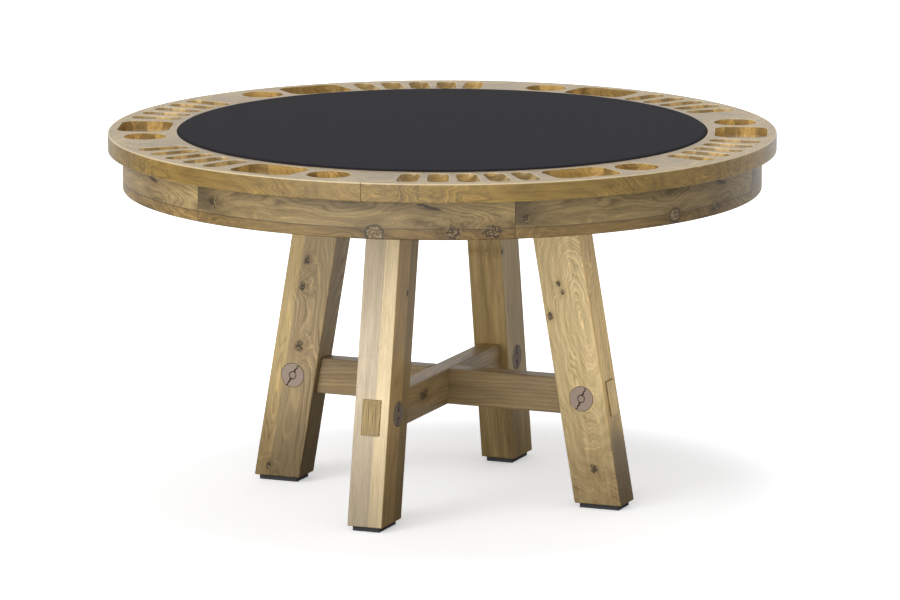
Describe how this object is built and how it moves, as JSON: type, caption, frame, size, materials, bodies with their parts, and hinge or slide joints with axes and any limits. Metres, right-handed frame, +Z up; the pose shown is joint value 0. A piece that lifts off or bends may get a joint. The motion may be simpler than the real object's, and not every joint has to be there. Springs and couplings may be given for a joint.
{
  "type": "round card table",
  "caption": "Round oak card table with a pocketed rail, a lift-out padded cloth panel, a curved apron and a splayed four-leg base with pegged through tenons.",
  "frame": {"origin": "on the floor, under the centre of the round top", "axes": "+Z up; the four legs stand on the X and Y axes, front at -Y"},
  "size_m": [1.3714, 1.3714, 0.7654],
  "materials": {
    "rail_oak": "satin oiled oak",
    "apron_oak": "satin oiled oak",
    "leg_oak": "satin oiled oak",
    "stretcher_oak": "satin oiled oak",
    "peg_end_grain": "oiled end grain",
    "spline_beech": "bare",
    "birch_plywood": "bare",
    "bearer_pine": "bare",
    "playing_cloth": "fine speed cloth",
    "foam": "open-cell foam",
    "foot_rubber": "matt",
    "zinc_steel": "zinc plated"
  },
  "bodies": {
    "table": {"apron_block_1": "bearer_pine", "apron_block_2": "bearer_pine", "apron_block_3": "bearer_pine", "apron_block_4": "bearer_pine", "apron_block_5": "bearer_pine", "apron_block_6": "bearer_pine", "apron_segment_1": "apron_oak", "apron_segment_2": "apron_oak", "apron_segment_3": "apron_oak", "apron_segment_4": "apron_oak", "apron_segment_5": "apron_oak", "apron_segment_6": "apron_oak", "bearer_front_back": "bearer_pine", "bearer_left_right": "bearer_pine", "deck": "birch_plywood", "deck_screw_back": "zinc_steel", "deck_screw_front": "zinc_steel", "deck_screw_left": "zinc_steel", "deck_screw_right": "zinc_steel", "foot_pad_back": "foot_rubber", "foot_pad_front": "foot_rubber", "foot_pad_left": "foot_rubber", "foot_pad_right": "foot_rubber", "foot_screw_back": "zinc_steel", "foot_screw_front": "zinc_steel", "foot_screw_left": "zinc_steel", "foot_screw_right": "zinc_steel", "leg_back": "leg_oak", "leg_bolt_back": "zinc_steel", "leg_bolt_front": "zinc_steel", "leg_bolt_left": "zinc_steel", "leg_bolt_right": "zinc_steel", "leg_front": "leg_oak", "leg_left": "leg_oak", "leg_peg_back": "peg_end_grain", "leg_peg_front": "peg_end_grain", "leg_peg_left": "peg_end_grain", "leg_peg_right": "peg_end_grain", "leg_right": "leg_oak", "rail_segment_1": "rail_oak", "rail_segment_2": "rail_oak", "rail_segment_3": "rail_oak", "rail_segment_4": "rail_oak", "rail_segment_5": "rail_oak", "rail_segment_6": "rail_oak", "rail_spline_1": "spline_beech", "rail_spline_2": "spline_beech", "rail_spline_3": "spline_beech", "rail_spline_4": "spline_beech", "rail_spline_5": "spline_beech", "rail_spline_6": "spline_beech", "stretcher_front_back": "stretcher_oak", "stretcher_left_right": "stretcher_oak"},
    "playing_panel": {"playing_board": "birch_plywood", "foam_pad": "foam", "cloth_cover": "playing_cloth"}
  },
  "joints": [
    {"name": "panel_lift", "type": "slide", "parent": "table", "child": "playing_panel", "axis": [0, 0, 1], "range_m": [0, 0.1]}
  ]
}
